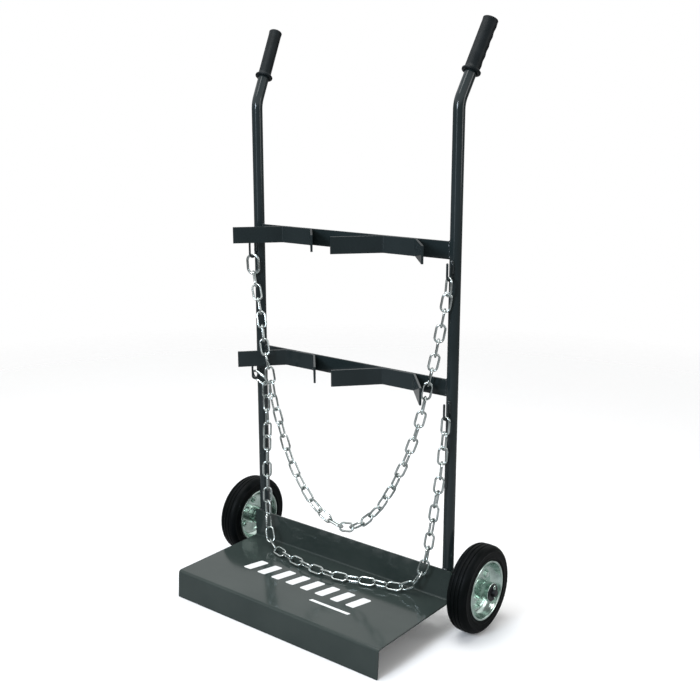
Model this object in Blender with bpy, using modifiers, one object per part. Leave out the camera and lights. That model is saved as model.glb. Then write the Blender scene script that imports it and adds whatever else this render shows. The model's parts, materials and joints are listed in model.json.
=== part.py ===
"""Oxy acetylene torch cart: a welded tube frame with two cradle bars for a pair of gas cylinders.

Metres, +Z up. The cart faces -Y: the cylinder plate is in front and the handles lean to the back.
The origin is on the floor, under the middle of the cart's bounding box.
Pieces that touch or are welded keep GAP between them.
"""
import math

import bmesh
import bpy
from mathutils import Matrix, Vector

COLLECTION = "oxy_acetylene_torch_cart"
GAP = 0.0003
SIDES = {"left": -1, "right": 1}

# wheels and axle
CART_DEPTH = 0.410
WHEEL_RADIUS = 0.100
WHEEL_WIDTH = 0.050
WHEEL_X = 0.345
AXLE_RADIUS = 0.008
AXLE_Y = CART_DEPTH / 2 - WHEEL_RADIUS
AXLE_Z = WHEEL_RADIUS
TYRE_BORE = 0.0618
TYRE_BORE_HALF_WIDTH = 0.0130
TYRE_BEAD_RADIUS = 0.0650
TYRE_BEAD_HALF_WIDTH = 0.0205
RIM_SHEET = 0.002
RIM_WEB_OFFSET = 0.0014
RIM_BARREL_RADIUS = 0.064
RIM_EDGE_RADIUS = 0.0670
HUB_RADIUS = 0.0214
HUB_BORE_RADIUS = 0.0195
HUB_HALF_LENGTH = 0.0375
BEARING_RADIUS = 0.0192
BEARING_WIDTH = 0.011
OUTER_RACE_BORE = 0.0155
INNER_RACE_RADIUS = 0.0110
BORE_CLEARANCE = 0.0004
WASHER_RADIUS = 0.0185
WASHER_THICKNESS = 0.002
SPACER_RADIUS = 0.012
COTTER_RADIUS = 0.0014
COTTER_HOLE_RADIUS = 0.0022
COTTER_OFFSET = 0.0425
AXLE_END_OFFSET = 0.0475
RIM_BOLTS = 3
RIM_BOLT_CIRCLE = 0.038
BOLT_HEAD_RADIUS = 0.0075
BOLT_SHANK_RADIUS = 0.0032
BOLT_HOLE_RADIUS = 0.0042
BOLT_PHASE = {"left": math.radians(87), "right": math.radians(36)}

# frame tubes
TUBE_RADIUS = 0.0127
TUBE_WALL = 0.0015
TUBE_X = 0.279
TUBE_Y = AXLE_Y - AXLE_RADIUS - GAP - TUBE_RADIUS
TUBE_BOTTOM_Z = 0.064
BEND_Z = 1.151
BEND_RADIUS = 0.060
HANDLE_LENGTH = 0.186
HANDLE_LEAN = math.radians(27.9)
HANDLE_SPLAY = 0.0875
GRIP_LENGTH = 0.120
GRIP_RADIUS = 0.0163
GRIP_FLANGE_RADIUS = 0.0207
GRIP_TOP = 0.004

# cylinder plate: one sheet with a lip folded down in front and a flange folded up behind
SHEET = 0.0035
PLATE_WIDTH = 0.594
PLATE_FRONT_Y = -CART_DEPTH / 2
PLATE_TOP_Z = 0.067
FLANGE_TOP_Z = 0.137
FLANGE_BACK_Y = TUBE_Y - TUBE_RADIUS - GAP
FOLD_RADIUS = 0.006
LIP_LEAN = 0.004

# crossbars and cradles: flat bar on edge
BAR_HEIGHT = 0.038
BAR_THICKNESS = 0.005
BAR_TOP_Z = {"upper": 0.869, "lower": 0.5715}
CRADLE_X = {
    ("upper", "left"): -0.155,
    ("upper", "right"): 0.139,
    ("lower", "left"): -0.149,
    ("lower", "right"): 0.140,
}
CRADLE_HALF_BACK = 0.0435
CRADLE_WING_OUT = 0.077
CRADLE_WING_FORWARD = 0.089
CRADLE_BEND_RADIUS = 0.012

# chain hooks: round rod bent to a U, one leg welded to the front of the tube
HOOK_WIRE = 0.0025
HOOK_TURN = math.radians(3)
HOOK_LEG = TUBE_RADIUS + GAP + HOOK_WIRE
HOOK_BEND_RADIUS = 0.0091
HOOK_TOP_Z = {"upper": 0.828, "lower": 0.526}
HOOK_HEIGHT = 0.037

# chains
LINK_PITCH = 0.034
LINK_WIDTH = 0.024
LINK_WIRE = 0.0025
END_LINK = {"left": (0.0405, 0.035, 0.003), "right": (LINK_PITCH, LINK_WIDTH, LINK_WIRE)}
# How an end link lies: its tilt from hanging straight down, its turn about the vertical, and its roll
# about its own length, all in degrees.
END_LINK_LIE = {
    ("upper", "left"): (3, 20, 0),
    ("upper", "right"): (-7, -24, 0),
    ("lower", "left"): (59.8, 11.8, -27.5),
    ("lower", "right"): (-4, 0, 0),
}
# The lower left end link is caught askew in its hook: its middle, from the hook's seat.
SKEWED_LINK_MIDDLE = (0.0125, 0.0035, 0.0026)
CHAIN_TUBE_RADIUS = 0.006
CHAIN_POINT_SPACING = 0.030
# The way each chain hangs between its two end links, chosen by hand: x, y from the tubes' axis, z.
CHAIN_ROUTE = {
    "upper": [
        (-0.2780, -0.0240, 0.7450),
        (-0.257, -0.037, 0.710),
        (-0.232, -0.049, 0.648),
        (-0.216, -0.058, 0.583),
        (-0.200, -0.058, 0.522),
        (-0.188, -0.057, 0.455),
        (-0.168, -0.055, 0.388),
        (-0.146, -0.053, 0.323),
        (-0.115, -0.051, 0.267),
        (-0.072, -0.048, 0.214),
        (-0.016, -0.045, 0.182),
        (0.018, -0.043, 0.179),
        (0.050, -0.041, 0.189),
        (0.099, -0.038, 0.232),
        (0.139, -0.036, 0.290),
        (0.172, -0.033, 0.356),
        (0.200, -0.031, 0.424),
        (0.220, -0.030, 0.488),
        (0.235, -0.029, 0.556),
        (0.250, -0.028, 0.617),
        (0.263, -0.027, 0.682),
        (0.2757, -0.0248, 0.7540),
    ],
    "lower": [
        (-0.2485, -0.0190, 0.4665),
        (-0.247, -0.022, 0.445),
        (-0.2425, -0.026, 0.415),
        (-0.239, -0.028, 0.385),
        (-0.240, -0.030, 0.320),
        (-0.240, -0.032, 0.250),
        (-0.238, -0.034, 0.185),
        (-0.232, -0.038, 0.130),
        (-0.214, -0.052, 0.090),
        (-0.180, -0.069, 0.0765),
        (-0.135, -0.081, 0.0765),
        (-0.084, -0.090, 0.0765),
        (-0.020, -0.095, 0.0765),
        (0.040, -0.090, 0.0765),
        (0.090, -0.073, 0.0765),
        (0.140, -0.058, 0.0765),
        (0.178, -0.050, 0.0765),
        (0.212, -0.042, 0.0920),
        (0.237, -0.037, 0.134),
        (0.247, -0.035, 0.185),
        (0.2545, -0.033, 0.240),
        (0.263, -0.031, 0.300),
        (0.272, -0.029, 0.360),
        (0.2777, -0.0248, 0.4515),
    ],
}


# ---------------------------------------------------------------- scene and materials

def clear_scene():
    for item in list(bpy.data.objects):
        bpy.data.objects.remove(item, do_unlink=True)


def new_collection(name):
    collection = bpy.data.collections.new(name)
    bpy.context.scene.collection.children.link(collection)
    return collection


def make_material(name, colour, roughness, metallic):
    material = bpy.data.materials.new(name)
    material.use_nodes = True
    shader = material.node_tree.nodes["Principled BSDF"]
    shader.inputs["Base Color"].default_value = (*colour, 1.0)
    shader.inputs["Roughness"].default_value = roughness
    shader.inputs["Metallic"].default_value = metallic
    return material


def make_materials():
    return {
        "frame_coat": make_material("frame_coat", (0.018, 0.024, 0.026), 0.32, 0.0),
        "zinc_plate": make_material("zinc_plate", (0.62, 0.66, 0.64), 0.28, 1.0),
        "tyre_rubber": make_material("tyre_rubber", (0.012, 0.013, 0.014), 0.62, 0.0),
        "grip_rubber": make_material("grip_rubber", (0.010, 0.010, 0.011), 0.50, 0.0),
        "bearing_steel": make_material("bearing_steel", (0.55, 0.56, 0.57), 0.22, 1.0),
        "black_steel": make_material("black_steel", (0.020, 0.020, 0.022), 0.45, 0.6),
    }


def add_object(name, data, collection, material, matrix=None):
    piece = bpy.data.objects.new(name, data)
    collection.objects.link(piece)
    if material is not None:
        data.materials.append(material)
    if matrix is not None:
        piece.matrix_world = matrix
    return piece


# ---------------------------------------------------------------- shape tools

def rounded_path(corners, radius, steps):
    """The points of a path whose inner corners are arcs of one radius."""
    path = [Vector(corners[0])]
    for before, corner, after in zip(corners, corners[1:], corners[2:]):
        before, corner, after = Vector(before), Vector(corner), Vector(after)
        to_before = (before - corner).normalized()
        to_after = (after - corner).normalized()
        half = to_before.angle(to_after) / 2
        centre = corner + (to_before + to_after).normalized() * radius / math.sin(half)
        start = corner + to_before * radius / math.tan(half)
        end = corner + to_after * radius / math.tan(half)
        turn = (start - centre).angle(end - centre)
        for i in range(steps + 1):
            a = turn * i / steps
            first = math.sin(turn - a) / math.sin(turn)
            second = math.sin(a) / math.sin(turn)
            path.append(centre + (start - centre) * first + (end - centre) * second)
    path.append(Vector(corners[-1]))
    return path


def band_outline(path, thickness):
    """The closed outline of a strip of one thickness along a flat path."""
    left, right = [], []
    for i, point in enumerate(path):
        before = path[max(i - 1, 0)]
        after = path[min(i + 1, len(path) - 1)]
        into = (point - before).normalized() if i else (after - point).normalized()
        out = (after - point).normalized() if i < len(path) - 1 else into
        along = (into + out).normalized()
        normal = Vector((-along.y, along.x, 0))
        reach = thickness / 2 / max(normal.dot(Vector((-into.y, into.x, 0))), 0.5)
        left.append(point + normal * reach)
        right.append(point - normal * reach)
    return left + right[::-1]


def smooth_route(points, spacing):
    """Points at an even spacing on a smooth curve through the route's points."""
    points = [Vector(p) for p in points]
    padded = [2 * points[0] - points[1]] + points + [2 * points[-1] - points[-2]]
    fine = []
    for p0, p1, p2, p3 in zip(padded, padded[1:], padded[2:], padded[3:]):
        for i in range(24):
            t = i / 24
            fine.append(0.5 * (2 * p1 + (p2 - p0) * t + (2 * p0 - 5 * p1 + 4 * p2 - p3) * t ** 2
                               + (3 * p1 - p0 - 3 * p2 + p3) * t ** 3))
    fine.append(points[-1])
    reach = [0.0]
    for a, b in zip(fine, fine[1:]):
        reach.append(reach[-1] + (b - a).length)
    count = max(round(reach[-1] / spacing), 2)
    even = []
    k = 0
    for i in range(count + 1):
        target = reach[-1] * i / count
        while k < len(fine) - 2 and reach[k + 1] < target:
            k += 1
        share = (target - reach[k]) / (reach[k + 1] - reach[k])
        even.append(fine[k].lerp(fine[k + 1], share))
    return even


def rod(name, points, radius, resolution, collection, material, closed=False, matrix=None):
    """A round rod, wire or tube along a path."""
    curve = bpy.data.curves.new(name, "CURVE")
    curve.dimensions = "3D"
    curve.bevel_depth = radius
    curve.bevel_resolution = resolution
    curve.use_fill_caps = not closed
    spline = curve.splines.new("POLY")
    spline.points.add(len(points) - 1)
    for target, point in zip(spline.points, points):
        target.co = (*point, 1.0)
    spline.use_cyclic_u = closed
    spline.use_smooth = True
    return add_object(name, curve, collection, material, matrix)


def plate_shape(name, outline, half_depth, collection, material, matrix):
    """A flat outline in local XY, extruded both ways along local Z."""
    curve = bpy.data.curves.new(name, "CURVE")
    curve.dimensions = "2D"
    curve.fill_mode = "BOTH"
    curve.extrude = half_depth
    spline = curve.splines.new("POLY")
    spline.points.add(len(outline) - 1)
    for target, point in zip(spline.points, outline):
        target.co = (point[0], point[1], 0.0, 1.0)
    spline.use_cyclic_u = True
    return add_object(name, curve, collection, material, matrix)


def turned(name, profile, segments, collection, material, matrix, closed=False, smooth=True):
    """A turned shape about local Z. The profile is (radius, z), down its outer side."""
    mesh = bpy.data.meshes.new(name)
    edges = [(i, i + 1) for i in range(len(profile) - 1)]
    if closed:
        edges.append((len(profile) - 1, 0))
    mesh.from_pydata([(r, 0.0, z) for r, z in profile], edges, [])
    piece = add_object(name, mesh, collection, material, matrix)
    screw = piece.modifiers.new("turn", "SCREW")
    screw.axis = "Z"
    screw.steps = segments
    screw.render_steps = segments
    screw.use_merge_vertices = True
    screw.merge_threshold = 0.00001
    screw.use_smooth_shade = smooth
    return piece


def ring(name, outer, inner, low, high, segments, collection, material, matrix):
    """A plain ring about local Z."""
    profile = [(outer, high), (outer, low), (inner, low), (inner, high)]
    return turned(name, profile, segments, collection, material, matrix, closed=True, smooth=False)


def box(name, size, centre, collection, material):
    bpy.ops.mesh.primitive_cube_add(size=1, location=centre)
    piece = bpy.context.object
    piece.name = name
    piece.data.name = name
    piece.data.transform(Matrix.Diagonal((*size, 1.0)))
    piece.data.materials.append(material)
    for home in list(piece.users_collection):
        home.objects.unlink(piece)
    collection.objects.link(piece)
    return piece


def drill(piece, name, radius, length, matrix, cutters):
    """Cuts a round hole along the matrix's local Z."""
    mesh = bpy.data.meshes.new(name)
    form = bmesh.new()
    bmesh.ops.create_cone(form, cap_ends=True, segments=10, radius1=radius, radius2=radius, depth=length)
    form.to_mesh(mesh)
    form.free()
    cutter = add_object(name, mesh, cutters, None, matrix)
    cutter.hide_render = True
    cutter.display_type = "WIRE"
    cut = piece.modifiers.new(name, "BOOLEAN")
    cut.operation = "DIFFERENCE"
    cut.solver = "EXACT"
    cut.object = cutter


def along(direction, origin):
    """A matrix whose local Z points along the direction."""
    return Matrix.Translation(origin) @ Vector(direction).to_track_quat("Z", "Y").to_matrix().to_4x4()


# ---------------------------------------------------------------- frame

def handle_direction(side):
    return Vector((side * HANDLE_SPLAY, math.sin(HANDLE_LEAN), math.cos(HANDLE_LEAN))).normalized()


def handle_end(side):
    return Vector((side * TUBE_X, TUBE_Y, BEND_Z)) + handle_direction(side) * HANDLE_LENGTH


def make_base_plate(parts, mats):
    half = SHEET / 2
    corners = [
        (PLATE_FRONT_Y + half, 0.0, 0),
        (PLATE_FRONT_Y + half + LIP_LEAN, PLATE_TOP_Z - half, 0),
        (FLANGE_BACK_Y - half, PLATE_TOP_Z - half, 0),
        (FLANGE_BACK_Y - half, FLANGE_TOP_Z, 0),
    ]
    outline = band_outline(rounded_path(corners, FOLD_RADIUS, 5), SHEET)
    # the lip leans out a little towards the front, and its lower edge is cut level
    outline[0].y = 0.0
    outline[-1].y = 0.0
    # local X is the cart's Y, local Y is its Z, local Z is its X
    matrix = Matrix(((0, 0, 1, 0), (1, 0, 0, 0), (0, 1, 0, 0), (0, 0, 0, 1)))
    plate_shape("base_plate", outline, PLATE_WIDTH / 2, parts, mats["frame_coat"], matrix)


def make_upright(label, side, parts, mats):
    bend = Vector((side * TUBE_X, TUBE_Y, BEND_Z))
    bottom = Vector((side * TUBE_X, TUBE_Y, TUBE_BOTTOM_Z))
    end = handle_end(side) - handle_direction(side) * GRIP_TOP
    path = rounded_path([bottom, bend, end], BEND_RADIUS, 5)
    tube = rod(f"{label}_upright", path, TUBE_RADIUS, 6, parts, mats["frame_coat"])
    tube.data.use_fill_caps = False
    wall = tube.modifiers.new("wall", "SOLIDIFY")
    wall.thickness = TUBE_WALL
    wall.offset = -1.0


def make_grip(label, side, parts, mats):
    bore = TUBE_RADIUS + GAP
    profile = [
        (0.0, 0.0),
        (0.0135, -0.0004),
        (GRIP_RADIUS - 0.0006, -0.0014),
        (GRIP_RADIUS, -0.0034),
        (GRIP_RADIUS, -GRIP_LENGTH + 0.010),
        (GRIP_FLANGE_RADIUS - 0.002, -GRIP_LENGTH + 0.0065),
        (GRIP_FLANGE_RADIUS, -GRIP_LENGTH + 0.004),
        (GRIP_FLANGE_RADIUS - 0.001, -GRIP_LENGTH),
        (bore, -GRIP_LENGTH),
        (bore, -GRIP_TOP + GAP),
        (0.0, -GRIP_TOP + GAP),
    ]
    matrix = along(handle_direction(side), handle_end(side))
    turned(f"{label}_grip", profile, 20, parts, mats["grip_rubber"], matrix)


def make_crossbar(level, parts, mats):
    length = 2 * (TUBE_X - TUBE_RADIUS - GAP)
    centre = (0.0, TUBE_Y, BAR_TOP_Z[level] - BAR_HEIGHT / 2)
    box(f"{level}_crossbar", (length, BAR_THICKNESS, BAR_HEIGHT), centre, parts, mats["frame_coat"])


def make_cradle(level, label, parts, mats):
    """A flat bar bent forward at both ends, which a gas cylinder leans into."""
    tip = CRADLE_HALF_BACK + CRADLE_WING_OUT
    corners = [
        (-tip, -CRADLE_WING_FORWARD, 0),
        (-CRADLE_HALF_BACK, 0, 0),
        (CRADLE_HALF_BACK, 0, 0),
        (tip, -CRADLE_WING_FORWARD, 0),
    ]
    outline = band_outline(rounded_path(corners, CRADLE_BEND_RADIUS, 3), BAR_THICKNESS)
    back_y = TUBE_Y - BAR_THICKNESS - GAP
    centre = Vector((CRADLE_X[level, label], back_y, BAR_TOP_Z[level] - BAR_HEIGHT / 2))
    plate_shape(f"{level}_{label}_cradle", outline, BAR_HEIGHT / 2, parts, mats["frame_coat"],
                Matrix.Translation(centre))


def hook_plane(side):
    """The direction, square to the tube, in which a hook stands out."""
    return Vector((side * math.sin(HOOK_TURN), -math.cos(HOOK_TURN), 0))


def hook_seat(level, side):
    """The middle of the rod at the bottom of a hook's U."""
    out = hook_plane(side) * (HOOK_LEG + HOOK_BEND_RADIUS)
    bottom = HOOK_TOP_Z[level] - HOOK_HEIGHT
    return Vector((side * TUBE_X, TUBE_Y, bottom)) + out


def make_hook(level, label, side, parts, mats):
    seat = hook_seat(level, side)
    centre = seat + Vector((0, 0, HOOK_BEND_RADIUS))
    out = hook_plane(side)
    top = Vector((0, 0, HOOK_HEIGHT - HOOK_BEND_RADIUS))
    path = [centre - out * HOOK_BEND_RADIUS + top]
    for i in range(9):
        a = math.pi * i / 8
        sunk = Vector((0, 0, -HOOK_BEND_RADIUS * math.sin(a)))
        path.append(centre - out * HOOK_BEND_RADIUS * math.cos(a) + sunk)
    path.append(centre + out * HOOK_BEND_RADIUS + top)
    rod(f"{level}_{label}_hook", path, HOOK_WIRE, 2, parts, mats["frame_coat"])


# ---------------------------------------------------------------- chains

def link_path(pitch, width, wire, steps):
    """A chain link's middle line in local XZ. Its inner length is the pitch."""
    radius = width / 2 - wire
    straight = pitch / 2 + wire - radius
    path = []
    for end in (1, -1):
        for i in range(steps + 1):
            a = math.pi * i / steps
            path.append(Vector((end * radius * math.cos(a), 0, end * (straight + radius * math.sin(a)))))
    return path


def end_link_place(level, label, side):
    """Where an end link lies. Its own length is local Z, and local -Z is its far end."""
    tilt, turn, roll = (math.radians(a) for a in END_LINK_LIE[level, label])
    lie = Matrix.Rotation(turn, 4, "Z") @ Matrix.Rotation(-tilt, 4, "Y") @ Matrix.Rotation(roll, 4, "Z")
    seat = hook_seat(level, side)
    if (level, label) == ("lower", "left"):
        return Matrix.Translation(seat + Vector(SKEWED_LINK_MIDDLE)) @ lie
    down = lie.to_3x3() @ Vector((0, 0, -1))
    return Matrix.Translation(seat + down * (END_LINK[label][0] / 2 - HOOK_WIRE - GAP)) @ lie


def make_end_link(level, label, side, parts, mats):
    pitch, width, wire = END_LINK[label]
    rod(f"{level}_chain_{label}_end_link", link_path(pitch, width, wire, 6), wire, 2, parts,
        mats["zinc_plate"], closed=True, matrix=end_link_place(level, label, side))


def make_chain(level, parts, mats):
    route = [(x, TUBE_Y + y, z) for x, y, z in CHAIN_ROUTE[level]]
    points = smooth_route(route, CHAIN_POINT_SPACING)
    rod(f"{level}_chain", points, CHAIN_TUBE_RADIUS, 2, parts, mats["zinc_plate"])


# ---------------------------------------------------------------- axle and wheels

def make_axle(parts, cutters, mats):
    half = WHEEL_X + AXLE_END_OFFSET
    bpy.ops.mesh.primitive_cylinder_add(vertices=24, radius=AXLE_RADIUS, depth=2 * half)
    axle = bpy.context.object
    axle.name = "axle"
    axle.data.name = "axle"
    axle.matrix_world = along((1, 0, 0), (0, AXLE_Y, AXLE_Z))
    axle.data.materials.append(mats["black_steel"])
    for home in list(axle.users_collection):
        home.objects.unlink(axle)
    parts.objects.link(axle)
    for label, side in SIDES.items():
        place = Matrix.Translation((side * (WHEEL_X + COTTER_OFFSET), AXLE_Y, AXLE_Z))
        drill(axle, f"{label}_cotter_hole", COTTER_HOLE_RADIUS, 4 * AXLE_RADIUS, place, cutters)


def make_axle_fittings(label, side, parts, mats):
    """What stays on the axle when the wheel turns. Local Z points outboard from the wheel's middle."""
    place = along((side, 0, 0), (side * WHEEL_X, AXLE_Y, AXLE_Z))
    bore = AXLE_RADIUS + BORE_CLEARANCE
    tube_side = WHEEL_X - TUBE_X - TUBE_RADIUS - GAP
    race_end = HUB_HALF_LENGTH - GAP
    ring(f"{label}_axle_spacer", SPACER_RADIUS, bore, -tube_side, -HUB_HALF_LENGTH, 20, parts,
         mats["zinc_plate"], place)
    ring(f"{label}_inner_bearing_inner_race", INNER_RACE_RADIUS, bore, -race_end, -race_end + BEARING_WIDTH,
         20, parts, mats["bearing_steel"], place)
    ring(f"{label}_outer_bearing_inner_race", INNER_RACE_RADIUS, bore, race_end - BEARING_WIDTH, race_end,
         20, parts, mats["bearing_steel"], place)
    washer_low = HUB_HALF_LENGTH + GAP
    ring(f"{label}_axle_washer", WASHER_RADIUS, bore, washer_low, washer_low + WASHER_THICKNESS, 24, parts,
         mats["black_steel"], place)
    make_cotter(label, side, parts, mats)


def make_cotter(label, side, parts, mats):
    """A split pin through the axle, with its eye on top and its tail bent outboard."""
    eye = 0.004
    top = 0.0135
    path = [(side * 0.0035, 0, -0.0135), (side * 0.0006, 0, -0.0118), (0, 0, -0.0100), (0, 0, top)]
    for i in range(1, 9):
        a = math.radians(270) * i / 8
        path.append((0, eye * (1 - math.cos(a)), top + eye * math.sin(a)))
    place = Matrix.Translation((side * (WHEEL_X + COTTER_OFFSET), AXLE_Y, AXLE_Z))
    rod(f"{label}_cotter_pin", path, COTTER_RADIUS, 1, parts, mats["zinc_plate"], matrix=place)


def wheel_axis(label, side, parts):
    """An empty on the joint's axis. Its local Z points outboard."""
    axis = bpy.data.objects.new(f"{label}_wheel_axis", None)
    parts.objects.link(axis)
    axis.matrix_world = along((side, 0, 0), (side * WHEEL_X, AXLE_Y, AXLE_Z))
    return axis


def tyre_profile():
    half = WHEEL_WIDTH / 2
    outer = [
        (RIM_EDGE_RADIUS + 0.0012, 0.0222),
        (0.0730, half - 0.0006),
        (0.0820, half),
        (0.0900, half - 0.0010),
        (0.0960, half - 0.0050),
        (0.0990, half - 0.0095),
        (WHEEL_RADIUS, half - 0.0140),
    ]
    lower = [(r, -z) for r, z in reversed(outer)]
    inside = [
        (TYRE_BEAD_RADIUS, -TYRE_BEAD_HALF_WIDTH),
        (TYRE_BORE, -TYRE_BORE_HALF_WIDTH),
        (TYRE_BORE, TYRE_BORE_HALF_WIDTH),
        (TYRE_BEAD_RADIUS, TYRE_BEAD_HALF_WIDTH),
    ]
    return outer + lower + inside


def rim_profile():
    return [
        (RIM_EDGE_RADIUS, 0.0243),
        (RIM_BARREL_RADIUS, 0.0238),
        (0.0600, 0.0150),
        (0.0555, 0.0065),
        (0.0480, RIM_WEB_OFFSET),
        (HUB_RADIUS + 0.0006, RIM_WEB_OFFSET),
    ]


def bolt_places(label, place):
    places = []
    for i in range(RIM_BOLTS):
        angle = BOLT_PHASE[label] + 2 * math.pi * i / RIM_BOLTS
        offset = Vector((0, math.cos(angle), math.sin(angle))) * RIM_BOLT_CIRCLE
        places.append(Matrix.Translation(offset) @ place)
    return places


def make_rim_half(label, half, facing, place, parts, cutters, mats):
    profile = [(r, facing * z) for r, z in rim_profile()]
    piece = turned(f"{label}_wheel_{half}_rim", profile, 32, parts, mats["zinc_plate"], place)
    sheet = piece.modifiers.new("sheet", "SOLIDIFY")
    sheet.thickness = RIM_SHEET
    sheet.offset = 0.0
    sheet.use_even_offset = True
    for i, hole in enumerate(bolt_places(label, place), 1):
        drill(piece, f"{label}_{half}_bolt_hole_{i}", BOLT_HOLE_RADIUS, 0.012, hole, cutters)


def bolt_profile():
    face = RIM_WEB_OFFSET + RIM_SHEET / 2 + GAP
    head = BOLT_HEAD_RADIUS
    shank = BOLT_SHANK_RADIUS
    return [
        (0.0, face + 0.0050),
        (head * 0.85, face + 0.0050),
        (head, face + 0.0042),
        (head, face),
        (shank, face),
        (shank, -face),
        (head, -face),
        (head, -face - 0.0060),
        (shank, -face - 0.0060),
        (shank, -face - 0.0085),
        (0.0, -face - 0.0085),
    ]


def make_wheel(label, side, parts, cutters, mats):
    axis = wheel_axis(label, side, parts)
    place = axis.matrix_world.copy()
    before = set(parts.objects)
    turned(f"{label}_wheel_tyre", tyre_profile(), 40, parts, mats["tyre_rubber"], place, closed=True)
    make_rim_half(label, "outer", 1, place, parts, cutters, mats)
    make_rim_half(label, "inner", -1, place, parts, cutters, mats)
    ring(f"{label}_wheel_hub", HUB_RADIUS, HUB_BORE_RADIUS, -HUB_HALF_LENGTH, HUB_HALF_LENGTH, 28, parts,
         mats["zinc_plate"], place)
    race_end = HUB_HALF_LENGTH - 2 * GAP
    ring(f"{label}_outer_bearing_outer_race", BEARING_RADIUS, OUTER_RACE_BORE, race_end - BEARING_WIDTH,
         race_end, 24, parts, mats["bearing_steel"], place)
    ring(f"{label}_inner_bearing_outer_race", BEARING_RADIUS, OUTER_RACE_BORE, -race_end,
         -race_end + BEARING_WIDTH, 24, parts, mats["bearing_steel"], place)
    for i, bolt in enumerate(bolt_places(label, place), 1):
        turned(f"{label}_rim_bolt_{i}", bolt_profile(), 6, parts, mats["zinc_plate"], bolt, smooth=False)
    for piece in set(parts.objects) - before:
        world = piece.matrix_world.copy()
        piece.parent = axis
        piece.matrix_parent_inverse = axis.matrix_world.inverted()
        piece.matrix_world = world


# ---------------------------------------------------------------- the cart

def main():
    clear_scene()
    parts = new_collection(COLLECTION)
    cutters = new_collection("cutters")
    mats = make_materials()
    make_base_plate(parts, mats)
    for label, side in SIDES.items():
        make_upright(label, side, parts, mats)
        make_grip(label, side, parts, mats)
        for level in BAR_TOP_Z:
            make_cradle(level, label, parts, mats)
            make_hook(level, label, side, parts, mats)
            make_end_link(level, label, side, parts, mats)
    for level in BAR_TOP_Z:
        make_crossbar(level, parts, mats)
        make_chain(level, parts, mats)
    make_axle(parts, cutters, mats)
    for label, side in SIDES.items():
        make_axle_fittings(label, side, parts, mats)
        make_wheel(label, side, parts, cutters, mats)


main()
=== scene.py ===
"""Looks of an oxy acetylene torch cart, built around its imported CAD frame.

Metres, +Z up. The cart faces -Y: the cylinder plate is in front and the handles lean to the back.
Round and bent pieces are built again with finer meshes, edges and welds, the chains are built link by
link, and every surface has its own finish.
"""
import json
import math

import bmesh
import bpy
from mathutils import Matrix, Quaternion, Vector, noise


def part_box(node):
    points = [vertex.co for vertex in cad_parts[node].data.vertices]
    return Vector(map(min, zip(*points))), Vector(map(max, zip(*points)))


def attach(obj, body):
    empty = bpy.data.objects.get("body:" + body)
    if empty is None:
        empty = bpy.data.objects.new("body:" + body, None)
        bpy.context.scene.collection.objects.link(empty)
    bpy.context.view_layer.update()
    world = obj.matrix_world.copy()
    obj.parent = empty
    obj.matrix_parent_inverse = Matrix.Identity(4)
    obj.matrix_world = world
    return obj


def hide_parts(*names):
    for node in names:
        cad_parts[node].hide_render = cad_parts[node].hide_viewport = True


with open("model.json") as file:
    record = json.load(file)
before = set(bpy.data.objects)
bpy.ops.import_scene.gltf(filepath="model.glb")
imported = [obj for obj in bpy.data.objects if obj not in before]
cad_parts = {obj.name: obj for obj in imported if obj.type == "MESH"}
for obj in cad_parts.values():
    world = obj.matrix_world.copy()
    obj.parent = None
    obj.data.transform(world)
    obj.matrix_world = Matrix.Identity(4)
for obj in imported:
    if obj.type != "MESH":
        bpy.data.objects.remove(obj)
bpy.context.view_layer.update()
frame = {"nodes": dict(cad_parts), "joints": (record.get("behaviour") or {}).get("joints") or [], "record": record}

GAP = 0.0003
SIDES = {"left": -1, "right": 1}
LEVELS = ("upper", "lower")
UP = Vector((0, 0, 1))
# local X is the cart's Y, local Y is its Z, local Z is its X
CROSSWISE = Matrix(((0, 0, 1, 0), (1, 0, 0, 0), (0, 1, 0, 0), (0, 0, 0, 1)))

# the camera stands in front of the cart, towards +X, a little above the middle
CAMERA_PLACE = (1.3987, -1.6891, 1.1332)
CAMERA_YAW = math.radians(38.29)
CAMERA_PITCH = math.radians(-13.35)
CAMERA_LENS = 51.81

# brightness of the room, by height: -1 straight down, 1 straight up
ROOM_BRIGHTNESS = [(0.0, 0.18), (0.18, 0.18), (0.30, 0.95), (0.66, 0.95), (0.82, 0.25)]

# frame tubes and handles
TUBE_RADIUS = 0.0127
TUBE_WALL = 0.0015
TUBE_X = TUBE_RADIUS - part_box("left_upright")[1].x
TUBE_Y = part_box("left_upright")[0].y + TUBE_RADIUS
TUBE_BOTTOM_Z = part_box("left_upright")[0].z
BEND_Z = 1.151
BEND_RADIUS = 0.060
HANDLE_LENGTH = 0.186
HANDLE_LEAN = math.radians(27.9)
HANDLE_SPLAY = 0.0875
GRIP_LENGTH = 0.120
GRIP_RADIUS = 0.0163
GRIP_NARROW = 0.90
GRIP_FLANGE_RADIUS = 0.0204
GRIP_TOP = 0.004
# which way a grip is widest, level, on the right side: outward and back
GRIP_WIDE_WAY = (0.785, 0.62)
GRIP_WAVE = 0.0011
GRIP_WAVES = 5
GRIP_WALL_TOP = -0.0022
GRIP_WALL_LOW = -GRIP_LENGTH + 0.0078
GRIP_TOP_FLARE = 0.0006
GRIP_FLARE_HEIGHT = 0.010
# the share of the wall over which the oval runs out into the round flange
GRIP_FOOT_SHARE = 0.04

# folded sheet and flat bars
SHEET = 0.0035
FOLD_RADIUS = 0.006
LIP_LEAN = 0.004
PLATE_TOP_Z = 0.067
BAR_THICKNESS = 0.005
CRADLE_HALF_BACK = 0.0435
CRADLE_WING_OUT = 0.077
CRADLE_WING_FORWARD = 0.089
CRADLE_BEND_RADIUS = 0.012
CRADLE_WELD_X = 0.028
CRADLE_WELD_HALF = 0.011

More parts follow.
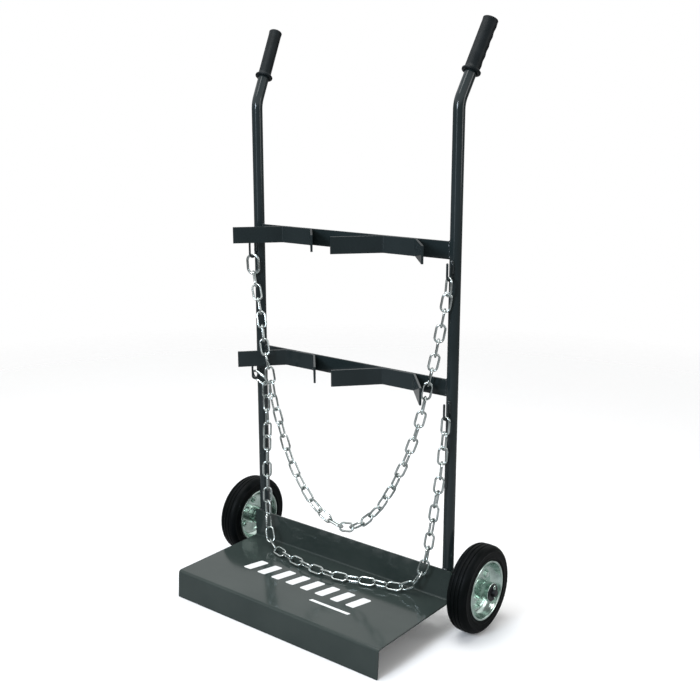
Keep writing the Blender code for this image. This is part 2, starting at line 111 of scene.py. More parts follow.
# radii of the weld beads
BEAD = {
    "bar": 0.0026,
    "bar_top": 0.0024,
    "cradle": 0.0013,
    "hook": 0.0024,
    "hook_top": 0.0034,
    "foot": 0.0036,
    "foot_top": 0.0034,
    "axle": 0.0032,
    "hub": 0.0017,
}

# white marking on the plate: plain blocks and a line
MARK_BLOCKS = 8
MARK_X = (-0.190, 0.160)
MARK_Y = (-0.092, -0.040)
MARK_BLOCK_WIDTH = 0.024
MARK_SLANT = 0.014
# x, y, width, depth and slant of the line
MARK_LINE = (0.045, -0.124, 0.110, 0.008, 0.004)
MARK_CORNER = 0.16
MARK_HEIGHTS = (0.00003, 0.00018)

# chain hooks
HOOK_WIRE = 0.0025
HOOK_TURN = math.radians(3)
HOOK_LEG = TUBE_RADIUS + GAP + HOOK_WIRE
HOOK_BEND_RADIUS = 0.0091
HOOK_HEIGHT = 0.037
HOOK_LEG_STEPS = 5
HOOK_ARC_STEPS = 14

# chains
LINK_PITCH = 0.034
LINK_WIDTH = 0.024
LINK_WIRE = 0.0025
END_LINK = {"left": (0.0405, 0.035, 0.003), "right": (LINK_PITCH, LINK_WIDTH, LINK_WIRE)}
# How an end link lies: its tilt from hanging straight down, its turn about the vertical, and its roll
# about its own length, all in degrees.
END_LINK_LIE = {
    ("upper", "left"): (3, 20, 0),
    ("upper", "right"): (-7, -24, 0),
    ("lower", "left"): (59.8, 11.8, -27.5),
    ("lower", "right"): (-4, 0, 0),
}
# The lower left end link is caught askew in its hook: its middle, from the hook's seat.
SKEWED_LINK_MIDDLE = (0.0125, 0.0035, 0.0026)
# The way each chain hangs between its end links, as in the frame: x, y from the tubes' axis, z.
CHAIN_ROUTE = {
    "upper": [
        (-0.2780, -0.0240, 0.7450), (-0.257, -0.037, 0.710), (-0.232, -0.049, 0.648),
        (-0.216, -0.058, 0.583), (-0.200, -0.058, 0.522), (-0.188, -0.057, 0.455),
        (-0.168, -0.055, 0.388), (-0.146, -0.053, 0.323), (-0.115, -0.051, 0.267),
        (-0.072, -0.048, 0.214), (-0.016, -0.045, 0.182), (0.018, -0.043, 0.179),
        (0.050, -0.041, 0.189), (0.099, -0.038, 0.232), (0.139, -0.036, 0.290),
        (0.172, -0.033, 0.356), (0.200, -0.031, 0.424), (0.220, -0.030, 0.488),
        (0.235, -0.029, 0.556), (0.250, -0.028, 0.617), (0.263, -0.027, 0.682),
        (0.2757, -0.0248, 0.7540),
    ],
    "lower": [
        (-0.2485, -0.0190, 0.4665), (-0.247, -0.022, 0.445), (-0.2425, -0.026, 0.415),
        (-0.239, -0.028, 0.385), (-0.240, -0.030, 0.320), (-0.240, -0.032, 0.250),
        (-0.238, -0.034, 0.185), (-0.232, -0.038, 0.130), (-0.214, -0.052, 0.090),
        (-0.180, -0.069, 0.0765), (-0.135, -0.081, 0.0765), (-0.084, -0.090, 0.0765),
        (-0.020, -0.095, 0.0765), (0.040, -0.090, 0.0765), (0.090, -0.073, 0.0765),
        (0.140, -0.058, 0.0765), (0.178, -0.050, 0.0765), (0.212, -0.042, 0.0920),
        (0.237, -0.037, 0.134), (0.247, -0.035, 0.185), (0.2545, -0.033, 0.240),
        (0.263, -0.031, 0.300), (0.272, -0.029, 0.360), (0.2777, -0.0248, 0.4515),
    ],
}
# How far the links are turned about the chain's own line: (share of the way, degrees).
CHAIN_ROLL = {
    "upper": [(0.0, 40), (0.18, 40), (0.24, 100), (0.30, 110), (0.46, 95), (0.50, 125),
              (0.61, 125), (0.76, 150), (1.0, 160)],
    "lower": [(0.0, -20), (0.04, -5), (0.15, 130), (0.23, 135), (0.31, 205), (0.65, 210),
              (0.80, 245), (0.86, 245), (1.0, 190)],
}

# wheels
WHEEL_RADIUS = 0.100
WHEEL_WIDTH = 0.050
AXLE_RADIUS = 0.008
AXLE_BORE = AXLE_RADIUS + 0.0004
RIM_SHEET = 0.002
RIM_WEB_OFFSET = 0.0014
RIM_EDGE_RADIUS = 0.0670
TYRE_BORE = 0.0618
TYRE_BORE_HALF_WIDTH = 0.0130
TYRE_BEAD_RADIUS = 0.0650
TYRE_BEAD_HALF_WIDTH = 0.0205
HUB_RADIUS = 0.0214
HUB_BORE_RADIUS = 0.0195
HUB_HALF_LENGTH = 0.0375
BOLT_HEAD_RADIUS = 0.0075
BOLT_SHANK_RADIUS = 0.0032
RIM_BOLT_CIRCLE = 0.038
RIM_BOLTS = 3
BOLT_PHASE = {"left": math.radians(87), "right": math.radians(36)}
SEAL_RADII = (0.0108, 0.0158)
SEAL_INSET = 0.0016
BOLT_WASHER_RADIUS = 0.0085
COTTER_OFFSET = 0.0425
COTTER_WIRE = 0.00125
COTTER_EYE = 0.0040
COTTER_LEG = 0.0165
COTTER_LEG_LOW = -0.0088
TREAD_GROOVES = (0.0095, 0.0, -0.0095)
TREAD_GROOVE_HALF = 0.0013
TREAD_GROOVE_DEPTH = 0.0020
RING_BORE = {
    "wheel_hub": HUB_BORE_RADIUS,
    "outer_race": 0.0155,
    "inner_race": AXLE_BORE,
    "axle_spacer": AXLE_BORE,
    "axle_washer": AXLE_BORE,
}
WHEEL_CENTRE = {joint["child"].split("_")[0]: Vector(joint["pos_m"]) for joint in frame["joints"]}


# -------- mesh tools

def keep(name, form, sharp, body, finish, replaces=()):
    """Adds a bmesh to the scene as a finished piece, and says what it rides on and stands for."""
    mesh = bpy.data.meshes.new(name)
    form.to_mesh(mesh)
    form.free()
    mesh.shade_smooth()
    mesh.set_sharp_from_angle(angle=math.radians(sharp))
    mesh.materials.append(finish)
    piece = bpy.data.objects.new(name, mesh)
    bpy.context.scene.collection.objects.link(piece)
    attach(piece, body)
    if replaces:
        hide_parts(*replaces)
    return piece


def add_rings(form, rings, loop=False):
    """Adds a skin through rings of points, each closed on itself. loop joins the last ring to the first."""
    layers = [[form.verts.new(p) for p in ring] for ring in rings]
    following = layers[1:] + layers[:1] if loop else layers[1:]
    for a, b in zip(layers, following):
        for i in range(len(a)):
            j = (i + 1) % len(a)
            form.faces.new((a[i], a[j], b[j], b[i]))
    return layers


def clean(form):
    """Merges the points and drops the faces that a turned or rounded shape has at its middle line."""
    bmesh.ops.remove_doubles(form, verts=form.verts, dist=1e-6)
    bmesh.ops.dissolve_degenerate(form, dist=1e-7, edges=form.edges)
    bmesh.ops.recalc_face_normals(form, faces=form.faces)


def ring_form(rings, loop=False):
    """A closed bmesh through rings of points, capped at both ends unless it is a loop."""
    form = bmesh.new()
    layers = add_rings(form, rings, loop)
    if not loop:
        form.faces.new(layers[0][::-1])
        form.faces.new(layers[-1])
    clean(form)
    return form


def circle(radius, count, z=0.0):
    """Points round local Z."""
    turns = [2 * math.pi * i / count for i in range(count)]
    return [Vector((radius * math.cos(a), radius * math.sin(a), z)) for a in turns]


def lathe_rings(profile, segments, place):
    """Rings of a turned shape about the place's local Z. The profile is (radius, z)."""
    return [[place @ p for p in circle(r, segments, z)] for r, z in profile]


def path_frames(points, first_normal, closed=False):
    """(point, tangent, normal) along a path, with as little turning of the normals as possible."""
    count = len(points)
    frames = []
    start = (points[1] - points[0]).normalized()
    normal = Vector(first_normal)
    # a first normal along the path itself would close the rings to nothing
    if abs(normal.dot(start)) > 0.95:
        normal = start.orthogonal().normalized()
    last = None
    for i, point in enumerate(points):
        if closed:
            tangent = (points[(i + 1) % count] - points[i - 1]).normalized()
        else:
            tangent = (points[min(i + 1, count - 1)] - points[max(i - 1, 0)]).normalized()
        if last is not None:
            normal = last.rotation_difference(tangent) @ normal
        normal = (normal - tangent * normal.dot(tangent)).normalized()
        frames.append((point, tangent, normal))
        last = tangent
    return frames


def sweep_rings(points, radius, sides, first_normal=(1, 0, 0), closed=False):
    """Rings of a round rod along a path. The radius is one number, or one for each point."""
    rings = []
    for i, (point, tangent, normal) in enumerate(path_frames(points, first_normal, closed)):
        other = tangent.cross(normal)
        r = radius[i] if isinstance(radius, list) else radius
        rings.append([point + (normal * p.x + other * p.y) * r for p in circle(1, sides)])
    return rings


def rounded_ends(points, radius, steps=4):
    """A path and its radii with both ends rounded off."""
    start = (points[1] - points[0]).normalized()
    end = (points[-1] - points[-2]).normalized()
    path, radii = [], []
    for i in range(steps):
        a = math.pi / 2 * i / steps
        path.append(points[0] + start * radius * (1 - math.cos(a)))
        radii.append(radius * max(math.sin(a), 0.02))
    path.append(points[0] + start * radius)
    radii.append(radius)
    inner = points[1:-1]
    path += inner
    radii += [radius] * len(inner)
    path.append(points[-1] - end * radius)
    radii.append(radius)
    for i in range(steps - 1, -1, -1):
        a = math.pi / 2 * i / steps
        path.append(points[-1] - end * radius * (1 - math.cos(a)))
        radii.append(radius * max(math.sin(a), 0.02))
    return path, radii


def rounded_path(corners, radius, steps):
    """The points of a path whose inner corners are arcs of one radius."""
    path = [Vector(corners[0])]
    for before, corner, after in zip(corners, corners[1:], corners[2:]):
        before, corner, after = Vector(before), Vector(corner), Vector(after)
        to_before = (before - corner).normalized()
        to_after = (after - corner).normalized()
        half = to_before.angle(to_after) / 2
        centre = corner + (to_before + to_after).normalized() * radius / math.sin(half)
        start = corner + to_before * radius / math.tan(half)
        end = corner + to_after * radius / math.tan(half)
        turn = (start - centre).angle(end - centre)
        for i in range(steps + 1):
            a = turn * i / steps
            first = math.sin(turn - a) / math.sin(turn)
            second = math.sin(a) / math.sin(turn)
            path.append(centre + (start - centre) * first + (end - centre) * second)
    path.append(Vector(corners[-1]))
    return path


def band_outline(path, thickness):
    """The closed outline of a strip of one thickness along a flat path in XY."""
    left, right = [], []
    for i, point in enumerate(path):
        before = path[max(i - 1, 0)]
        after = path[min(i + 1, len(path) - 1)]
        into = (point - before).normalized() if i else (after - point).normalized()
        out = (after - point).normalized() if i < len(path) - 1 else into
        heading = (into + out).normalized()
        normal = Vector((-heading.y, heading.x, 0))
        reach = thickness / 2 / max(normal.dot(Vector((-into.y, into.x, 0))), 0.5)
        left.append(point + normal * reach)
        right.append(point - normal * reach)
    return left + right[::-1]


def slab_form(outline, half_depth, place, cuts):
    """A flat outline in local XY, extruded both ways along local Z, with its long faces cut across."""
    levels = [half_depth * (2 * i / cuts - 1) for i in range(cuts + 1)]
    return ring_form([[place @ Vector((p.x, p.y, z)) for p in outline] for z in levels])


def soften(piece, width, segments=2, angle=40):
    """Rounds a piece's sharp edges a little, as they are on real cut metal."""
    bevel = piece.modifiers.new("edges", "BEVEL")
    bevel.width = width
    bevel.segments = segments
    bevel.limit_method = "ANGLE"
    bevel.angle_limit = math.radians(angle)
    bevel.harden_normals = True


def along(direction, origin):
    """A matrix whose local Z points along the direction."""
    return Matrix.Translation(origin) @ Vector(direction).to_track_quat("Z", "Y").to_matrix().to_4x4()


def smooth_route(points, spacing):
    """Points at an even spacing on a smooth curve through the route's points."""
    points = [Vector(p) for p in points]
    padded = [2 * points[0] - points[1]] + points + [2 * points[-1] - points[-2]]
    fine = []
    for p0, p1, p2, p3 in zip(padded, padded[1:], padded[2:], padded[3:]):
        for i in range(24):
            t = i / 24
            fine.append(0.5 * (2 * p1 + (p2 - p0) * t + (2 * p0 - 5 * p1 + 4 * p2 - p3) * t ** 2
                               + (3 * p1 - p0 - 3 * p2 + p3) * t ** 3))
    fine.append(points[-1])
    reach = [0.0]
    for a, b in zip(fine, fine[1:]):
        reach.append(reach[-1] + (b - a).length)
    count = max(round(reach[-1] / spacing), 2)
    even = []
    k = 0
    for i in range(count + 1):
        target = reach[-1] * i / count
        while k < len(fine) - 2 and reach[k + 1] < target:
            k += 1
        share = (target - reach[k]) / (reach[k + 1] - reach[k])
        even.append(fine[k].lerp(fine[k + 1], share))
    return even


# -------- materials

def new_finish(name, **sockets):
    """A Principled material, its shader, and its node tree."""
    material = bpy.data.materials.new(name)
    material.use_nodes = True
    shader = material.node_tree.nodes["Principled BSDF"]
    for socket, value in sockets.items():
        shader.inputs[socket.replace("_", " ")].default_value = value
    return material, shader, material.node_tree


def node(tree, kind, **values):
    """A new node. Values go to its properties, or to its inputs where they have that name."""
    made = tree.nodes.new(kind)
    for name, value in values.items():
        if hasattr(made, name):
            setattr(made, name, value)
        else:
            made.inputs[name.replace("_", " ")].default_value = value
    return made


def object_space(tree, scale=(1, 1, 1)):
    """The piece's own coordinates, in metres."""
    where = node(tree, "ShaderNodeTexCoord")
    mapping = node(tree, "ShaderNodeMapping")
    mapping.inputs["Scale"].default_value = scale
    tree.links.new(where.outputs["Object"], mapping.inputs["Vector"])
    return mapping.outputs["Vector"]


def noise_of(tree, space, scale, detail=3.0, roughness=0.5):
    texture = node(tree, "ShaderNodeTexNoise", Scale=scale, Detail=detail, Roughness=roughness)
    tree.links.new(space, texture.inputs["Vector"])
    return texture.outputs["Fac"]


def ramp_of(tree, value, stops):
    """Colours along a value. Stops are (place, grey) or (place, (r, g, b))."""
    ramp = node(tree, "ShaderNodeValToRGB")
    elements = ramp.color_ramp.elements
    while len(elements) < len(stops):
        elements.new(0.5)
    for element, (place, colour) in zip(elements, stops):
        element.position = place
        shade = colour if isinstance(colour, tuple) else (colour,) * 3
        element.color = (*shade, 1.0)
    tree.links.new(value, ramp.inputs["Fac"])
    return ramp.outputs["Color"]


def mixed(tree, share, a, b):
    """Two colours mixed. Each of a and b is an output or (r, g, b)."""
    mix = node(tree, "ShaderNodeMix", data_type="RGBA")
    for value, socket in ((share, mix.inputs[0]), (a, mix.inputs[6]), (b, mix.inputs[7])):
        if isinstance(value, tuple):
            socket.default_value = (*value, 1.0)
        elif isinstance(value, float):
            socket.default_value = value
        else:
            tree.links.new(value, socket)
    return mix.outputs[2]


def graded(tree, shader, socket, value, stops):
    """A socket of the shader follows a value, through a ramp."""
    tree.links.new(ramp_of(tree, value, stops), shader.inputs[socket])


def bumped(tree, shader, height, strength, distance):
    bump = node(tree, "ShaderNodeBump", Strength=strength, Distance=distance)
    tree.links.new(height, bump.inputs["Height"])
    tree.links.new(bump.outputs["Normal"], shader.inputs["Normal"])


def coat_finish(name, low, high, rough_low, rough_high, specular):
    """Gloss powder coat with a green-blue cast and a slight orange peel."""
    material, shader, tree = new_finish(name, Metallic=0.0, IOR=1.5, Specular_IOR_Level=specular)
    space = object_space(tree)
    cloud = noise_of(tree, space, 9.0, 4.0)
    graded(tree, shader, "Base Color", cloud, [(0.3, low), (0.7, high)])
    grain = noise_of(tree, space, 34.0, 5.0, 0.6)
    graded(tree, shader, "Roughness", grain, [(0.25, rough_low), (0.75, rough_high)])
    bumped(tree, shader, noise_of(tree, space, 420.0, 2.0), 0.06, 0.0003)
    return material


def zinc_finish(name, low, high, rough_low, rough_high):
    """Bright zinc plate: a green-grey passivated silver with soft mottling."""
    material, shader, tree = new_finish(name, Metallic=1.0)
    space = object_space(tree)
    cloud = noise_of(tree, space, 38.0, 5.0, 0.6)
    graded(tree, shader, "Base Color", cloud, [(0.28, low), (0.72, high)])
    grain = noise_of(tree, space, 95.0, 4.0)
    graded(tree, shader, "Roughness", grain, [(0.25, rough_low), (0.75, rough_high)])
    bumped(tree, shader, noise_of(tree, space, 900.0, 2.0), 0.12, 0.0003)
    return material


def rubber_finish(name, colour, worn, roughness, specular, scale, depth):
    """Black rubber or vinyl with a fine pebbled skin, paler where it is scuffed."""
    material, shader, tree = new_finish(name, Roughness=roughness, IOR=1.5, Specular_IOR_Level=specular)
    space = object_space(tree)
    scuff = ramp_of(tree, noise_of(tree, space, 26.0, 6.0, 0.65), [(0.45, 0.0), (0.75, 1.0)])
    tree.links.new(mixed(tree, scuff, colour, worn), shader.inputs["Base Color"])
    cells = node(tree, "ShaderNodeTexVoronoi", Scale=scale)
    tree.links.new(space, cells.inputs["Vector"])
    bumped(tree, shader, cells.outputs["Distance"], 0.35, depth)
    return material


def dark_steel_finish():
    """Black oxide steel, with the bright metal showing through a little."""
    material, shader, tree = new_finish("black_steel", Metallic=0.85)
    space = object_space(tree)
    wear = ramp_of(tree, noise_of(tree, space, 70.0, 6.0, 0.7), [(0.5, 0.0), (0.72, 1.0)])
    tree.links.new(mixed(tree, wear, (0.030, 0.031, 0.034), (0.13, 0.13, 0.135)), shader.inputs["Base Color"])
    graded(tree, shader, "Roughness", noise_of(tree, space, 140.0, 3.0), [(0.3, 0.34), (0.7, 0.52)])
    bumped(tree, shader, noise_of(tree, space, 1100.0, 2.0), 0.15, 0.0002)
    return material


def ground_steel_finish():
    """Ground bearing steel."""
    material, shader, tree = new_finish("bearing_steel", Metallic=1.0)
    space = object_space(tree, (0.2, 1, 1))
    cloud = noise_of(tree, space, 60.0, 3.0)
    graded(tree, shader, "Base Color", cloud, [(0.3, (0.42, 0.43, 0.44)), (0.7, (0.56, 0.57, 0.58))])
    graded(tree, shader, "Roughness", noise_of(tree, space, 300.0, 2.0), [(0.3, 0.20), (0.7, 0.30)])
    bumped(tree, shader, noise_of(tree, space, 2200.0, 1.0), 0.10, 0.0001)
    return material


def marking_finish():
    """White print, a little worn."""
    material, shader, tree = new_finish("marking_white", Roughness=0.45)
    space = object_space(tree)
    wear = noise_of(tree, space, 120.0, 6.0, 0.7)
    graded(tree, shader, "Base Color", wear, [(0.60, (0.80, 0.81, 0.80)), (0.78, (0.50, 0.52, 0.52))])
    bumped(tree, shader, noise_of(tree, space, 900.0, 2.0), 0.10, 0.0002)
    return material


def make_finishes():
    """Every finish, by name."""
    coats = [
        ("frame_coat", (0.014, 0.021, 0.022), (0.019, 0.027, 0.029), 0.11, 0.17, 0.36),
        ("weld_coat", (0.014, 0.021, 0.023), (0.020, 0.029, 0.032), 0.10, 0.16, 0.75),
        # the plate's coat is the frame's paint made about twice as light: painted light for the brighter top and
        # lip of the plate
        ("plate_coat_painted_light", (0.028, 0.039, 0.036), (0.037, 0.049, 0.045), 0.10, 0.15, 0.36),
    ]
    zincs = [
        ("zinc_plate", (0.34, 0.46, 0.41), (0.74, 0.87, 0.81), 0.10, 0.20),
        ("chain_zinc", (0.34, 0.39, 0.38), (0.70, 0.75, 0.74), 0.12, 0.20),
    ]
    rubbers = [
        ("tyre_rubber", (0.002, 0.003, 0.003), (0.004, 0.005, 0.006), 0.40, 0.06, 1500.0, 0.0002),
        ("grip_rubber", (0.006, 0.009, 0.010), (0.011, 0.015, 0.017), 0.42, 0.12, 1100.0, 0.0003),
    ]
    finishes = {look[0]: coat_finish(*look) for look in coats}
    finishes |= {look[0]: zinc_finish(*look) for look in zincs}
    finishes |= {look[0]: rubber_finish(*look) for look in rubbers}
    finishes["bearing_steel"] = ground_steel_finish()
    finishes["black_steel"] = dark_steel_finish()
    finishes["marking_white"] = marking_finish()
    return finishes


# -------- camera, lights and floor

def make_camera():
    data = bpy.data.cameras.new("camera")
    data.lens = CAMERA_LENS
    data.sensor_width = 36
    camera = bpy.data.objects.new("camera", data)
    bpy.context.scene.collection.objects.link(camera)
    look = Vector((
        -math.sin(CAMERA_YAW) * math.cos(CAMERA_PITCH),
        math.cos(CAMERA_YAW) * math.cos(CAMERA_PITCH),
        math.sin(CAMERA_PITCH),
    ))
    camera.location = CAMERA_PLACE
    camera.rotation_mode = "QUATERNION"
    camera.rotation_quaternion = look.to_track_quat("-Z", "Y")
    bpy.context.scene.camera = camera


def make_light(name, place, target, size, power, colour=(1, 1, 1)):
    """A soft rectangular lamp, as (width, height) in metres and power in watts."""
    data = bpy.data.lights.new(name, "AREA")
    data.shape = "RECTANGLE"
    data.size, data.size_y = size
    data.energy = power
    data.color = colour
    light = bpy.data.objects.new(name, data)
    bpy.context.scene.collection.objects.link(light)
    light.matrix_world = along(Vector(place) - Vector(target), place)


def make_world():
    """A plain white backdrop. What the cart reflects is a dim room with a bright band above eye level."""
    world = bpy.data.worlds.new("studio")
    bpy.context.scene.world = world
    world.use_nodes = True
    tree = world.node_tree
    where = node(tree, "ShaderNodeTexCoord")
    parts = node(tree, "ShaderNodeSeparateXYZ")
    tree.links.new(where.outputs["Generated"], parts.inputs["Vector"])
    room = ramp_of(tree, parts.outputs["Z"], ROOM_BRIGHTNESS)
    seen = node(tree, "ShaderNodeLightPath")
    shade = mixed(tree, seen.outputs["Is Camera Ray"], room, (1.0, 1.0, 1.0))
    background = tree.nodes["Background"]
    tree.links.new(shade, background.inputs["Color"])


def make_floor():
    """A pale floor that fades into the backdrop. It is darker to other rays than to the camera."""
    form = bmesh.new()
    bmesh.ops.create_circle(form, cap_ends=True, segments=96, radius=14.0)
    mesh = bpy.data.meshes.new("floor")
    form.to_mesh(mesh)
    form.free()
    floor = bpy.data.objects.new("floor", mesh)
    bpy.context.scene.collection.objects.link(floor)
    material, shader, tree = new_finish("floor", Roughness=0.55)
    seen = node(tree, "ShaderNodeLightPath")
    shade = mixed(tree, seen.outputs["Is Camera Ray"], (0.35, 0.35, 0.35), (0.95, 0.95, 0.95))
    tree.links.new(shade, shader.inputs["Base Color"])
    where = node(tree, "ShaderNodeTexCoord")
    far = node(tree, "ShaderNodeVectorMath", operation="LENGTH")
    tree.links.new(where.outputs["Object"], far.inputs[0])
    fade = node(tree, "ShaderNodeMapRange", From_Min=1.1, From_Max=3.2)
    tree.links.new(far.outputs["Value"], fade.inputs["Value"])
    clear = node(tree, "ShaderNodeBsdfTransparent")
    both = node(tree, "ShaderNodeMixShader")
    tree.links.new(fade.outputs["Result"], both.inputs["Fac"])
    tree.links.new(shader.outputs["BSDF"], both.inputs[1])
    tree.links.new(clear.outputs["BSDF"], both.inputs[2])
    tree.links.new(both.outputs["Shader"], tree.nodes["Material Output"].inputs["Surface"])
    mesh.materials.append(material)


def make_studio():
    make_camera()
    make_world()
    make_floor()
    make_light("top", (-0.4, -0.3, 3.6), (0, 0, 0), (2.6, 2.6), 95)
    make_light("front", (0.10, -3.0, 1.05), (0, 0, 0.8), (0.60, 1.1), 5, (0.78, 0.89, 1.0))
    make_light("window", (0.10, -2.3, 1.68), (0, 0, 1.15), (0.45, 0.70), 34, (0.76, 0.87, 1.0))
    make_light("side", (3.4, 1.2, 1.6), (0, 0, 0.5), (1.0, 1.8), 20)


# -------- chains

def hook_plane(side):
    """The direction, square to the tube, in which a hook stands out."""
    return Vector((side * math.sin(HOOK_TURN), -math.cos(HOOK_TURN), 0))


def hook_seat(level, side):
    """The middle of the rod at the bottom of a hook's U."""
    label = "left" if side < 0 else "right"
    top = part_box(f"{level}_{label}_hook")[1].z
    out = hook_plane(side) * (HOOK_LEG + HOOK_BEND_RADIUS)
    return Vector((side * TUBE_X, TUBE_Y, top - HOOK_HEIGHT)) + out


def link_path(pitch, width, wire, steps):
    """A link's middle line in local XZ. Its inner length, along Z, is the pitch."""
    radius = width / 2 - wire
    straight = pitch / 2 + wire - radius
    path = []
    for end in (1, -1):
        for i in range(steps + 1):
            a = math.pi * i / steps
            path.append(Vector((end * radius * math.cos(a), 0, end * (straight + radius * math.sin(a)))))
        path.append(Vector((-end * radius, 0, end * straight / 3)))
        path.append(Vector((-end * radius, 0, -end * straight / 3)))
    return path


def link_rings(pitch, width, wire, place, steps=9, sides=12):
    """Rings of one link. The wire is a little fuller at the butt weld in one of its sides."""
    path = link_path(pitch, width, wire, steps)
    butt = Vector((width / 2 - wire, 0, 0))
    radii = [wire * (1 + 0.16 * math.exp(-((p - butt).length / (0.8 * wire)) ** 2)) for p in path]
    rings = sweep_rings(path, radii, sides, (0, 1, 0), closed=True)
    return [[place @ p for p in ring] for ring in rings]


def end_link_place(level, label):
    """Where an end link lies. Its own length is local Z, and local -Z is its far end."""
    tilt, turn, roll = (math.radians(a) for a in END_LINK_LIE[level, label])
    lie = Matrix.Rotation(turn, 4, "Z") @ Matrix.Rotation(-tilt, 4, "Y") @ Matrix.Rotation(roll, 4, "Z")
    seat = hook_seat(level, SIDES[label])
    if (level, label) == ("lower", "left"):
        return Matrix.Translation(seat + Vector(SKEWED_LINK_MIDDLE)) @ lie
    down = lie.to_3x3() @ -UP
    return Matrix.Translation(seat + down * (END_LINK[label][0] / 2 - HOOK_WIRE - GAP)) @ lie


def end_link_seat(level, label):
    """The inner far end of an end link, where the chain's next link hangs."""
    return end_link_place(level, label) @ Vector((0, 0, -END_LINK[label][0] / 2))


def make_end_link(level, label, finish):
    pitch, width, wire = END_LINK[label]
    rings = link_rings(pitch, width, wire, end_link_place(level, label), 12, 14)
    return keep(f"{level}_chain_{label}_end", ring_form(rings, loop=True), 180, "frame", finish,
                [f"{level}_chain_{label}_end_link"])


def roll_at(level, share):
    """The turn of the links at a share of the way along a chain, in radians."""
    stops = CHAIN_ROLL[level]
    for (a, low), (b, high) in zip(stops, stops[1:]):
        if share <= b:
            return math.radians(low + (high - low) * (share - a) / (b - a))
    return math.radians(stops[-1][1])


def make_chain(level, finish):
    """One chain, link by link, along its route from end link to end link."""
    ends = [make_end_link(level, label, finish) for label in SIDES]
    route = [Vector((x, TUBE_Y + y, z)) for x, y, z in CHAIN_ROUTE[level]]
    route[0] = end_link_seat(level, "left")
    route[-1] = end_link_seat(level, "right")
    line = smooth_route(route, 0.002)
    length = sum((b - a).length for a, b in zip(line, line[1:]))
    count = math.ceil(length / LINK_PITCH)
    frames = path_frames(line, (0, -1, 0))
    last = len(line) - 1
    form = bmesh.new()
    for i in range(count):
        start = line[round(i * last / count)]
        end = line[round((i + 1) * last / count)]
        middle = frames[round((i + 0.5) * last / count)]
        axis = (start - end).normalized()
        angle = roll_at(level, (i + 0.5) / count) + math.pi / 2 * (i + 1)
        face = Quaternion(axis, angle) @ middle[2]
        face = (face - axis * face.dot(axis)).normalized()
        turn = Matrix((face.cross(axis), face, axis)).transposed().to_4x4()
        place = Matrix.Translation((start + end) / 2) @ turn
        add_rings(form, link_rings(LINK_PITCH, LINK_WIDTH, LINK_WIRE, place), loop=True)
    bmesh.ops.recalc_face_normals(form, faces=form.faces)
    chain = keep(f"{level}_chain_links", form, 180, "frame", finish, [f"{level}_chain"])


# -------- welds

def weld(name, ends, radius, finish, seed):
    """A straight weld bead: overlapping ripples of uneven size with rounded ends."""
    start, end = Vector(ends[0]), Vector(ends[1])
    count = max(round((end - start).length / (radius * 0.28)), 4)
    line, radii = rounded_ends([start.lerp(end, i / count) for i in range(count + 1)], radius)
    rippled = []
    for point, r in zip(line, radii):
        s = (point - line[0]).length
        ripple = 1 - 0.13 * abs(math.sin(math.pi * s / (radius * 1.1)))
        rippled.append(r * ripple * (1 + 0.14 * noise.noise(Vector((s * 160, seed, 0)))))
    form = ring_form(sweep_rings(line, rippled, 12))
    for vert in form.verts:
        vert.co += vert.normal * radius * 0.07 * noise.noise(vert.co * 700 + Vector((seed, 0, 0)))
    keep(name, form, 180, "frame", finish)


# -------- frame

def handle_direction(side):
    """Up along a handle."""
    return Vector((side * HANDLE_SPLAY, math.sin(HANDLE_LEAN), math.cos(HANDLE_LEAN))).normalized()


def handle_end(side):
    return Vector((side * TUBE_X, TUBE_Y, BEND_Z)) + handle_direction(side) * HANDLE_LENGTH


def make_upright(label, side, finish):
    """A bent tube with a real wall, open at its foot."""
    bend = Vector((side * TUBE_X, TUBE_Y, BEND_Z))
    bottom = Vector((side * TUBE_X, TUBE_Y, TUBE_BOTTOM_Z))
    end = handle_end(side) - handle_direction(side) * GRIP_TOP
    path = rounded_path([bottom, bend, end], BEND_RADIUS, 14)
    outer = sweep_rings(path, TUBE_RADIUS, 40)
    inner = sweep_rings(path, TUBE_RADIUS - TUBE_WALL, 40)
    form = ring_form(outer + inner[::-1], loop=True)
    soften(keep(f"{label}_tube", form, 50, "frame", finish, [f"{label}_upright"]), 0.0004)


def grip_place(side):
    """Local Z runs up the handle, and local X is the way the grip is widest."""
    up = handle_direction(side)
    wide = Vector((side * GRIP_WIDE_WAY[0], GRIP_WIDE_WAY[1], 0))
    wide = (wide - up * wide.dot(up)).normalized()
    turn = Matrix((wide, up.cross(wide), up)).transposed()
    return Matrix.Translation(handle_end(side)) @ turn.to_4x4()


def grip_profile():
    """The sleeve's outline, from the middle of its top down the wall and flange and up the bore."""
    bore = TUBE_RADIUS + GAP
    rows = 60
    top = [(0.0, 0.0), (0.0120, 0.0), (GRIP_RADIUS - 0.0006, -0.0003), (GRIP_RADIUS, -0.0010)]
    drop = GRIP_WALL_LOW - GRIP_WALL_TOP
    wall = [(GRIP_RADIUS, GRIP_WALL_TOP + drop * i / rows) for i in range(rows + 1)]
    flange = [
        (GRIP_RADIUS + 0.0010, GRIP_WALL_LOW - 0.0010),
        (GRIP_FLANGE_RADIUS - 0.0014, GRIP_WALL_LOW - 0.0020),
        (GRIP_FLANGE_RADIUS - 0.0002, GRIP_WALL_LOW - 0.0032),
        (GRIP_FLANGE_RADIUS, -GRIP_LENGTH + 0.0028),
        (GRIP_FLANGE_RADIUS - 0.0004, -GRIP_LENGTH + 0.0010),
        (GRIP_FLANGE_RADIUS - 0.0014, -GRIP_LENGTH),
    ]
    inside = [
        (bore + 0.0010, -GRIP_LENGTH),
        (bore, -GRIP_LENGTH + 0.0010),
        (bore, -GRIP_TOP + GAP),
        (0.0, -GRIP_TOP + GAP),
    ]
    return top + wall + flange + inside


